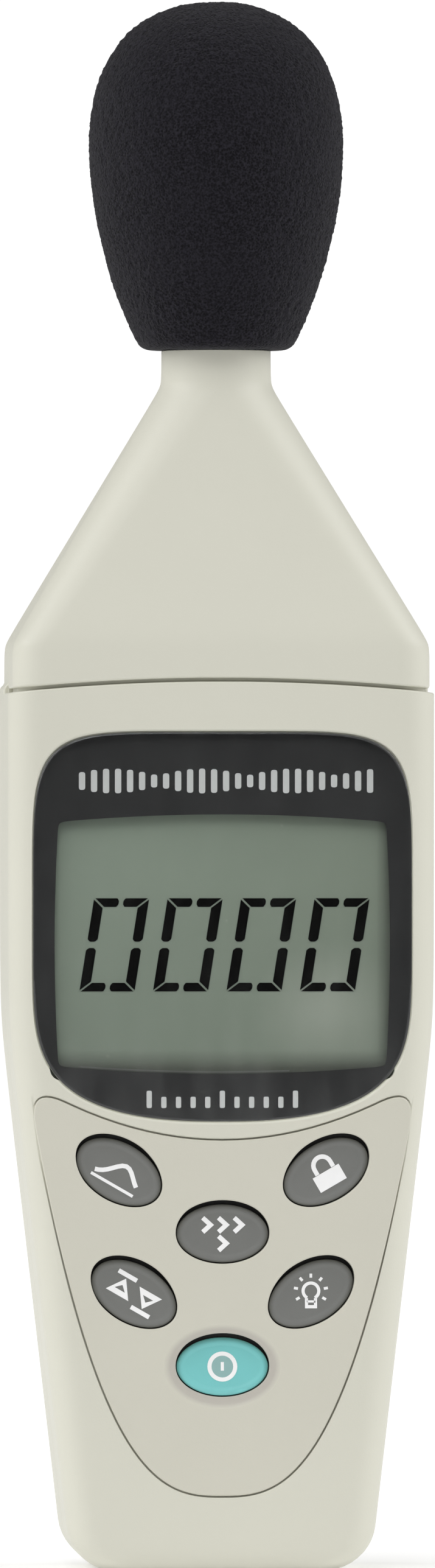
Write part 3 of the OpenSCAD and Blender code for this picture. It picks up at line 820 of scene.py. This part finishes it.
def make_rear_shell():
    levels = [(z, 0, 0) for z in BASE_LEVELS + BODY_LEVELS + [105, 112, 117.7]]
    levels += [(118.0, 0, 0.25), (118.3, 0, 0.75), (118.6, 0, 1)]
    levels += [(z, 0, 1) for z in HEAD_LEVELS + NECK_LEVELS]
    levels += neck_top_levels()
    piece = raw("rear_casing", half_solid(levels, 1), "casing")
    hollow = [WALL, 3.5, 6.2, 36, 64, 71, 80, 117.9, 118.6, 121, 125, 141, NECK_FLOOR]
    combine(piece, cavity(hollow, 1, [0] * 8 + [1] * 5))
    add_rear_bosses(piece)
    cut_rear_openings(piece)
    extend(piece, parting_tongue())
    place(piece, "case", "casing", "rear_shell")


def cross_arm(x, z, turn):
    """One arm of a screw's cross recess, as a function of how far it grows."""
    def outline(grow):
        a, b = 1.3 + grow, 0.3 + grow
        return turned([(-a, -b), (a, -b), (a, b), (-a, b)], x, z, turn)
    return outline


def make_case_screws():
    """Pan-head screws, each with a tapered cross recess turned its own way."""
    top = SEAT_Y + 1.6
    places = BODY_SCREWS + HEAD_SCREWS
    profile = [(0.2, SEAT_Y - 18), (1.12, SEAT_Y - 16.6), (1.12, SEAT_Y), (2.3, SEAT_Y)]
    profile += [(2.3, top - 0.65), (2.22, top - 0.4), (2.0, top - 0.2), (1.6, top - 0.06), (1.1, top)]
    piece = raw("screws", joined(*[lathe(profile, x, z) for x, z in places]), "screw_steel")
    for arm in (0, pi / 2):
        cuts = []
        for i, (x, z) in enumerate(places):
            outline = cross_arm(x, z, arm + 0.7 * i + 0.35)
            cuts.append(prism(outline, [(-0.16, top - 1.1), (0, top - 0.1), (0.02, top + 1)]))
        combine(piece, joined(*cuts))
    place(piece, "case", "screw_steel", "case_screws")


def make_panel():
    play, lip, sunk = 0.22, 0.18, 0.36
    edge = [(-play - lip + lip * sin(a), FACE + lip - lip * cos(a)) for a in angles(0, 90, 4)]
    edge.append((-play, FACE + PANEL_T - 0.02))
    piece = raw("keypad_plate", prism(panel_outline, edge), "panel")
    dish = [(2.0, -1), (1.75, 0.004), (1.6, 0.04), (1.35, 0.16), (1.1, 0.27)]
    dish += [(0.85, 0.34), (0.55, sunk), (-3, sunk)]
    combine(piece, prism(oval(KEYS["key_power"]), [(grow, FACE + depth) for grow, depth in dish]))
    holes = []
    for name, key in KEYS.items():
        edge_r, top = (0.12, FACE + sunk) if name == "key_power" else (0.22, FACE)
        holes.append(recess(key_opening(key), PANEL_T + 1, KEY_GAP, edge_r, top))
    combine(piece, joined(*holes))
    place(piece, "case", "panel", "keypad_panel")


# ---- display
def make_lens():
    edge = [(-0.3 + 0.3 * sin(a), FACE + 0.3 - 0.3 * cos(a)) for a in angles(0, 90, 5)]
    piece = raw("display_window", prism(lens_outline, edge + [(0, FACE + LENS_T - 0.02)]), "lens")
    place(piece, "case", "lens", "display_lens")


DIGIT_W, DIGIT_H, DIGIT_PITCH = 7.35, 12.4, 9.8
DIGIT_X, DIGIT_Z = -19.0, 77.4
SLANT = tan(radians(9))
BAR_W, BAR_H = 1.35, 1.15
GAP = 0.16


def digit_zero():
    """The eight strokes of a zero as outlines: each side is split in two, with mitred corners."""
    w, h = DIGIT_W, DIGIT_H
    end, middle = h / 2 - 0.42, w / 2 - 0.3
    side = [(0, GAP), (BAR_W, BAR_H + GAP), (BAR_W, end - 0.33)]
    side += [(BAR_W - 0.35, end), (0.35, end), (0, end - 0.33)]
    foot = [(GAP, 0), (middle - 0.25, 0), (middle, 0.35)]
    foot += [(middle, BAR_H - 0.35), (middle - 0.25, BAR_H), (BAR_W + GAP, BAR_H)]
    strokes = []
    for shape in (side, foot):
        for mirror_u in (False, True):
            for mirror_v in (False, True):
                strokes.append([(w - u if mirror_u else u, h - v if mirror_v else v) for u, v in shape])
    return strokes


def make_digits():
    shapes = []
    for i in range(4):
        left = DIGIT_X + i * DIGIT_PITCH
        for stroke in digit_zero():
            points = [(left + u + SLANT * v, DIGIT_Z + v) for u, v in stroke]
            shapes.append(plate(points, GLASS_Y - 0.04, GLASS_Y - 0.005))
    place(raw("lcd_segments", joined(*shapes), "segments"), "case", "lcd", weighted=False)
    # Painted highlight: a thin grey line where the lower edge of the display glass catches the light.
    edge = [(x, WINDOW_Z - WINDOW_H + 0.22 + (x / 22.35) ** 2) for x in range(-19, 10)]
    strip = ribbon(edge, 0.18, GLASS_Y - 0.03, GLASS_Y - 0.005)
    place(raw("polariser_edge", strip, "edge_grey"), "case", "lcd", weighted=False)


def make_mask_prints():
    """Light print on the mask: a row of level bars above the display and a small scale below it."""
    bars = []
    for i in range(25):
        x = -18.7 + 1.6 * i
        h = 0.75 + 0.9 * abs(sin(0.42 * i + 0.5))
        bars.append(rounded(x - 0.42, x + 0.42, 105.4 - h, 105.4 + h, 0.3, 4))
    for i in range(11):
        x = -9.75 + 1.95 * i
        h = 2.3 if i % 5 == 0 else 1.5
        bars.append(rounded(x - 0.35, x + 0.35, 61.9, 61.9 + h, 0.2, 3))
    shapes = [prism(bar, [(0, MASK_Y - 0.035), (0, MASK_Y - 0.005)]) for bar in bars]
    place(raw("mask_graphics", joined(*shapes), "ink"), "case", "mask_print", weighted=False)


# ---- keys
def ribbon(points, width, y0, y1, closed=False):
    """A flat stroke of even width along a row of points."""
    rings = []
    last = len(points) - 1
    for i, (x, z) in enumerate(points):
        a = points[i - 1] if closed or i else points[0]
        b = points[(i + 1) % len(points)] if closed or i < last else points[last]
        if i in (0, last) and not closed:
            sharp = 1
        else:
            d1, d2 = Vector((x - a[0], z - a[1])), Vector((b[0] - x, b[1] - z))
            sharp = max(cos(d1.angle(d2) / 2), 0.5)
        run = Vector((b[0] - a[0], b[1] - a[1])).normalized()
        dx, dz = -run.y * width / 2 / sharp, run.x * width / 2 / sharp
        (ax, az), (bx, bz) = (x + dx, z + dz), (x - dx, z - dz)
        rings.append([(ax, y0, az), (ax, y1, az), (bx, y1, bz), (bx, y0, bz)])
    return loft(rings, closed=closed)


def arc(x, z, r, start, end, steps=24):
    return [(x + r * cos(a), z + r * sin(a)) for a in angles(start, end, steps)]


# Each symbol is a list of (points, width, closed) strokes about the key's middle
def symbol_weighting():
    curve = [(-3.0 + 0.5 * i, -1.35 + 2.5 * exp(-((0.5 * i - 3.6) / 2.1) ** 2)) for i in range(13)]
    return [(curve, 0.6, False), ([(-3.2, -1.9), (3.2, -1.9)], 0.4, False)]


def symbol_hold():
    body = [([(-2, -1.0), (2, -1.0)], 2.2, False)]
    return body + [([(-1.2, 0.15)] + arc(0, 0.95, 1.2, 180, 0, 12) + [(1.2, 0.15)], 0.6, False)]


def symbol_response():
    def chevron(x, z, s):
        return [(x - s * 0.55, z + s), (x + s * 0.55, z), (x - s * 0.55, z - s)]
    strokes = [(chevron(x, 1.15, 0.95), 0.62, False) for x in (-2.1, 0, 2.1)]
    return strokes + [(chevron(0, -1.3, 0.95), 0.62, False)]


def symbol_max_min():
    def triangle(x, way):
        return [(x - 1.25, -0.85 * way), (x + 1.25, -0.85 * way), (x, 0.75 * way)]
    strokes = []
    for x, way in ((-1.9, 1), (1.9, -1)):
        strokes.append((triangle(x, way), 0.6, True))
        strokes.append(([(x - 1.4, 1.7 * way), (x + 1.4, 1.7 * way)], 0.6, False))
    return strokes


def symbol_light():
    strokes = [(arc(0, 0.35, 1.05, -60, 240, 24), 0.42, False)]
    strokes.append(([(-0.6, -0.6), (-0.6, -1.75), (0.6, -1.75), (0.6, -0.6)], 0.42, False))
    strokes.append(([(-0.6, -1.05), (0.6, -1.05)], 0.3, False))
    for a in angles(-30, 210, 6):
        c, s = cos(a), sin(a)
        strokes.append(([(1.75 * c, 0.35 + 1.75 * s), (2.3 * c, 0.35 + 2.3 * s)], 0.36, False))
    return strokes


def symbol_power():
    ring = [(1.72 * cos(a), 1.72 * sin(a)) for a in full_turn(32)]
    return [(ring, 0.55, True), ([(0, -0.55), (0, 0.6)], 0.42, False)]


# Each key's symbol, and how far it is turned back from the key's tilt, in degrees
SYMBOLS = {
    "key_weighting": (symbol_weighting, 0), "key_hold": (symbol_hold, 0),
    "key_response": (symbol_response, 0), "key_max_min": (symbol_max_min, 0),
    "key_light": (symbol_light, -KEY_TILT), "key_power": (symbol_power, 0),
}


def symbol_strokes(key, symbol, turn):
    strokes = []
    for points, width, closed in symbol():
        placed = turned(points, key[0], key[1], radians(key[2] + turn))
        strokes.append(ribbon(placed, width, KEY_FLOOR - INK_T, KEY_FLOOR + 0.1, closed))
    return joined(*strokes)


def make_key(name):
    """A key cap with a rounded rim and a hollow face, on a black skirt with a flange and a foot."""
    key = KEYS[name]
    back = corners(name)[1].y
    flange = corners("front_shell")[0].y + WALL + 0.15
    skirt = [(-2, back), (-2, flange + 0.8), (0.9, flange + 0.8), (0.9, flange), (0, flange)]
    skirt.append((-0.02, FACE + 0.85))
    cap = [(-0.1, FACE + 0.84), (0, FACE + 0.78), (0, FACE + 0.6), (-0.05, FACE + 0.48)]
    cap += [(-0.16, FACE + 0.36), (-0.32, FACE + 0.26), (-0.5, KEY_TOP), (-0.62, KEY_TOP)]
    cap += [(-0.76, KEY_TOP + 0.03), (-0.95, KEY_TOP + 0.09), (-1.2, KEY_FLOOR), (-3.3, KEY_FLOOR)]
    skin, slope = ("key_teal", POWER_SLOPE) if name == "key_power" else ("key_grey", KEY_SLOPE)

    def sloped(shape):
        """Lets the front of the key fall back towards its upper edge."""
        verts, faces = shape
        moved = []
        for x, y, z in verts:
            fall = max(0, 1 + (z - key[1]) / KEY_B) * slope / 2
            moved.append((x, y + fall if y < flange - 0.1 else y, z))
        return moved, faces
    skirt = sloped(prism(oval(key), skirt))
    place(raw(name + "_skirt", skirt, "black_rubber"), name, "black_rubber")
    place(raw(name + "_cap", sloped(prism(oval(key), cap)), skin), name, skin, name)
    symbol = sloped(symbol_strokes(key, *SYMBOLS[name]))
    place(raw(name + "_symbol", symbol, "key_ink"), name, skin, weighted=False)
    if name == "key_power":
        disc = prism(oval(key, 1.5, 1.5), [(0, KEY_FLOOR - INK_T / 2), (0, KEY_FLOOR + 0.1)])
        place(raw("key_power_disc", sloped(disc), "pale_teal"), name, skin, weighted=False)


# ---- microphone and windscreen
def make_microphone():
    low = corners("mic_tube")[0].z
    wall = [(5.7, low), (6.9, low), (6.9, low + 1.2), (MIC_R, low + 1.2)]
    for z in (176.2, 177.2):
        wall += [(MIC_R, z - 0.3), (MIC_R - 0.25, z - 0.1), (MIC_R - 0.25, z + 0.1), (MIC_R, z + 0.3)]
    wall += [(MIC_R, MIC_TOP - 2.02), (5.7, MIC_TOP - 2.02)]
    sleeve = raw("mic_sleeve", lathe(wall, upright=True, steps=96, closed=True), "nickel")
    place(sleeve, "case", "nickel", "mic_tube")
    top = [(MIC_R - 0.15, MIC_TOP - 2), (MIC_R, MIC_TOP - 1.85), (MIC_R, MIC_TOP - 0.5)]
    top += [(MIC_R - 0.15, MIC_TOP - 0.15), (MIC_R - 0.5, MIC_TOP)]
    grille = raw("mic_cap", lathe(top, upright=True, steps=96), "nickel")
    combine(grille, lathe([(5.2, MIC_TOP - 3), (5.2, MIC_TOP - 1)], upright=True))
    drill = [(0.6, MIC_TOP - 1.5), (0.6, MIC_TOP - 0.1), (0.75, MIC_TOP + 0.02), (0.75, MIC_TOP + 1)]
    verts, faces = lathe(drill, upright=True, steps=20)
    drills = []
    for r, count in ((0, 1), (2, 6), (4, 12)):
        for i in range(count):
            a = 2 * pi * i / count
            drills.append(([(x + r * cos(a), y + r * sin(a), z) for x, y, z in verts], faces))
    combine(grille, joined(*drills))
    place(grille, "case", "nickel", "mic_grille")


def foam_radius(z):
    if z > FOAM_WIDEST:
        return FOAM_R * (1 - min((z - FOAM_WIDEST) / (FOAM_TOP - FOAM_WIDEST), 1) ** 2.3) ** (1 / 2.3)
    return FOAM_R - 6.86 * ((FOAM_WIDEST - z) / (FOAM_WIDEST - FOAM_Z0)) ** 1.95


def foam_profile():
    """(radius, height) points up the outside of the foam."""
    r, sweep = 2.0, 64
    z = FOAM_Z0 + r * (1 - cos(radians(sweep)))
    centre = foam_radius(z) - r * sin(radians(sweep))
    points = [(FOAM_BORE + 0.2 + (centre - 0.2 - FOAM_BORE) * t / 6, FOAM_Z0) for t in range(6)]
    points += [(centre + r * sin(a), FOAM_Z0 + r - r * cos(a)) for a in angles(0, sweep, 10)]
    z += FOAM_ROW
    while z < FOAM_WIDEST:
        points.append((foam_radius(z), z))
        z += FOAM_ROW
    rise = FOAM_TOP - FOAM_WIDEST
    for a in angles(0, 90, 92):
        radius = max(foam_radius(FOAM_WIDEST + rise * sin(a)), 0.01)
        points.append((radius, FOAM_WIDEST + (rise - 0.35) * sin(a)))
    return points


def make_windscreen():
    outside = [(max(r - 0.2, 0.01), z) for r, z in foam_profile()]
    bore = [(0.01, MIC_TOP + 1), (FOAM_BORE - 0.3, MIC_TOP + 1), (FOAM_BORE, MIC_TOP + 0.7)]
    bore += [(FOAM_BORE, 175), (FOAM_BORE, FOAM_Z0 + 0.7)]
    foam = lathe(bore + outside, upright=True, steps=FOAM_STEPS)
    piece = raw("foam_windscreen", foam, "windscreen_foam")
    piece.data.update()
    moved = []
    for vertex in piece.data.vertices:
        p = vertex.co / MM
        if hypot(p.x, p.y) < FOAM_BORE + 0.2 and p.z < MIC_TOP + 1.5:
            moved.append(vertex.co.copy())
            continue
        fuzz = noise.noise(p / 0.6) + 0.7 * noise.noise(p / 0.3)
        slow = noise.noise(p / 7.0)
        calm = min(max((p.z - FOAM_Z0) / 2, 0.1), 1)
        moved.append(vertex.co + vertex.normal * MM * calm * (0.15 * fuzz + 0.14 * slow))
    for vertex, co in zip(piece.data.vertices, moved):
        vertex.co = co
    place(piece, "windscreen", "windscreen_foam", "windscreen", crease=180, weighted=False)


# ---- battery and door
def make_battery():
    low, high = corners("battery")
    outline = rounded(low.x, high.x, low.y, high.y, 2.2, 8)
    rim = [(-0.45, 0.05), (-0.1, 0.4), (-0.1, 0.9), (-0.28, 1.15), (-0.02, 1.5)]
    levels = [(-0.9, low.z)] + [(grow, low.z + rise) for grow, rise in rim]
    levels += [(grow, high.z - rise) for grow, rise in reversed(rim)]
    levels += [(-0.7, high.z), (-1.0, high.z - 0.35), (-1.3, high.z - 0.35)]
    case = raw("battery_case", tower(outline, levels), "battery_jacket")
    place(case, "case", "battery_jacket", "battery")


def make_battery_studs():
    """The round stud and the crown-shaped socket on top of the battery."""
    low, high = corners("battery_terminals")
    middle = (low.y + high.y) / 2
    z0, z1 = low.z - 0.4, high.z
    stud = [(2.9, z0), (2.9, z0 + 0.9), (2.2, z0 + 1.1), (2.1, z0 + 1.6)]
    stud += [(2.7, z0 + 2.1), (2.6, z1 - 0.1), (2.2, z1)]
    stud = lathe(stud, upright=True)
    crown = []
    levels = [(0.2, z0), (0.2, z0 + 0.8), (-0.1, z0 + 1.1), (0, z1 - 0.2)]
    levels += [(-0.2, z1), (-0.8, z1), (-0.9, z0 + 1.0)]
    for grow, z in levels:
        ring = []
        for a in full_turn(72):
            r = 3.55 + grow + 0.18 * cos(6 * a)
            ring.append((r * cos(a), r * sin(a), z))
        crown.append(ring)
    shapes = []
    for (verts, faces), x in ((stud, -6.35), (loft(crown), 6.35)):
        shapes.append(([(px + x, py + middle, pz) for px, py, pz in verts], faces))
    studs = raw("battery_studs", joined(*shapes), "tin_plate")
    place(studs, "case", "tin_plate", "battery_terminals")


def make_snap_cap():
    low, high = corners("snap_connector")
    outline = rounded(low.x, high.x, low.y, high.y, 4, 8)
    levels = [(-0.5, low.z), (-0.1, low.z + 0.2), (0, low.z + 0.6), (0, high.z - 1.2)]
    levels += [(-0.3, high.z - 0.6), (-1, high.z - 0.2), (-2, high.z)]
    cap = raw("snap_cap", tower(outline, levels), "black_vinyl")
    place(cap, "case", "black_vinyl", "snap_connector")


def along_x(profile, y, z):
    """A turned solid about an axis along X, from (radius, x) pairs."""
    turn = full_turn(40)
    return loft([[(x, y + r * cos(a), z + r * sin(a)) for a in turn] for r, x in profile])


def make_door():
    lip = 0.3
    profile = [(-0.15, BACK_IN), (0, BACK_IN + 0.15)]
    profile += [(-lip + lip * cos(a), BACK_DEPTH - lip + lip * sin(a)) for a in angles(0, 90, 5)]
    piece = raw("door_panel", prism(door_outline(0, DOOR_AXIS_Z, 1.4), profile), "casing")
    grip = [(-0.3, -0.6), (-0.1, -0.52), (0, -0.3), (0.04, -0.08), (0.14, 0.02), (0.14, 4)]
    grooves = []
    for i in range(5):
        z = DOOR_TOP - 14 + 2 * i
        slot = rounded(-7, 7, z, z + 1, 0.5, 6)
        grooves.append(prism(slot, [(grow, BACK_DEPTH + rise) for grow, rise in grip]))
    arrow = [(-2.2, 48.6), (2.2, 48.6), (0, 45.2)]
    grooves.append(plate(arrow, BACK_DEPTH - 0.3, 20))
    combine(piece, joined(*grooves))
    barrel = [(0.7, -DOOR_W), (1, -DOOR_W + 0.3), (1, DOOR_W - 0.3), (0.7, DOOR_W)]
    pin = [(0.45, -DOOR_W - 1.3), (0.6, -DOOR_W - 1.15), (0.6, DOOR_W + 1.15), (0.45, DOOR_W + 1.3)]
    extend(piece, joined(*[along_x(shape, DOOR_AXIS_Y, DOOR_AXIS_Z) for shape in (barrel, pin)]))
    place(piece, "door", "casing", "battery_door")
    low, high = corners("battery_pad")
    profile = [(-0.15, high.y), (0, high.y - 0.1), (0, low.y + 0.25)]
    profile += [(-0.15, low.y + 0.05), (-0.6, low.y)]
    pad = raw("door_pad", prism(rounded(low.x, high.x, low.z, high.z, 1.2), profile), "pad_foam")
    place(pad, "door", "pad_foam", "battery_pad")


def make_tripod_insert():
    """Brass insert with a real thread down its bore."""
    y1 = BACK_DEPTH - 0.1
    rings = []
    outside = [(INSERT_R - 0.3, 8), (INSERT_R, 8.3), (INSERT_R, y1 - 0.25), (INSERT_R - 0.2, y1)]
    outside += [(THREAD_R + 0.6, y1), (THREAD_R + 0.35, y1 - 0.1)]
    turn = full_turn(48)
    for r, y in outside:
        rings.append([(r * cos(a), y, TRIPOD_Z + r * sin(a)) for a in turn])
    y = y1 - 0.3
    while y > 9.1:
        ring = []
        for a in turn:
            phase = (y / THREAD_PITCH + a / (2 * pi)) % 1
            r = THREAD_R + 0.42 * (1 - abs(2 * phase - 1))
            ring.append((r * cos(a), y, TRIPOD_Z + r * sin(a)))
        rings.append(ring)
        y -= THREAD_PITCH / 8
    piece = raw("tripod_bush", loft(rings), "brass")
    place(piece, "case", "brass", "tripod_insert")


# ---- studio
def make_stage():
    size = 2.5
    mesh = bpy.data.meshes.new("floor")
    square = [(-size, -size, 0), (size, -size, 0), (size, size, 0), (-size, size, 0)]
    mesh.from_pydata(square, [], [(0, 1, 2, 3)])
    f = Finish("floor")
    base = f.mix(f.noise(400), (0.86, 0.86, 0.86, 1), (0.9, 0.9, 0.9, 1))
    mesh.materials.append(f.surface(base, 0.9, Emission_Color=(1, 1, 1, 1), Emission_Strength=0.24))
    linked("floor", mesh)


# Name, direction towards the lamp, strength and angular size
LAMPS = [
    ("key_light", (-0.15, -0.62, 0.77), 0.66, 25),
    ("left_light", (-0.8, -0.14, 0.57), 1.68, 50),
    ("right_light", (0.8, -0.14, 0.57), 1.68, 50),
]


def make_lights():
    world = bpy.data.worlds.new("studio")
    bpy.context.scene.world = world
    g = Graph(world)
    facing = g.add("SeparateXYZ", {0: g.add("TexCoord").outputs["Generated"]}).outputs["Y"]
    dim_behind_camera = g.remap(facing, -0.97, -0.8, 0.05, 0.28)
    fill = g.add("Background", {0: (1, 0.995, 0.985, 1), 1: dim_behind_camera}).outputs[0]
    white = g.add("Background", {0: (1, 1, 1, 1), 1: 1.05}).outputs[0]
    seen = g.add("LightPath").outputs["Is Camera Ray"]
    g.add("OutputWorld", {0: g.add("MixShader", {0: seen, 1: fill, 2: white}).outputs[0]})
    for name, way, energy, angle in LAMPS:
        sun = bpy.data.lights.new(name, "SUN")
        sun.energy = energy
        sun.angle = radians(angle)
        linked(name, sun).rotation_euler = Vector(way).to_track_quat("Z", "Y").to_euler()


CAMERA_FAR = 2.2
CAMERA_TURN = radians(3.3)
CAMERA_ASIDE = 0.0002
SENSOR = 36.0
VIEW_HEIGHT = 0.21


def make_camera():
    data = bpy.data.cameras.new("camera")
    data.sensor_width = SENSOR
    data.lens = SENSOR * CAMERA_FAR / VIEW_HEIGHT
    data.clip_end = 60
    camera = linked("camera", data)
    s, c = sin(CAMERA_TURN), cos(CAMERA_TURN)
    camera.location = (
        CAMERA_ASIDE * c - CAMERA_FAR * s,
        -CAMERA_ASIDE * s - CAMERA_FAR * c,
        VIEW_HEIGHT / 2,
    )
    camera.rotation_euler = (radians(90), 0, -CAMERA_TURN)
    bpy.context.scene.camera = camera
    bpy.context.scene.view_settings.view_transform = "Standard"


make_camera()
make_lights()
make_stage()
dress_kept_nodes()
make_front_shell()
make_head_shell()
make_rear_shell()
make_case_screws()
make_panel()
make_lens()
make_digits()
make_mask_prints()
for key_name in KEYS:
    make_key(key_name)
make_microphone()
make_windscreen()
make_battery()
make_battery_studs()
make_snap_cap()
make_door()
make_tripod_insert()
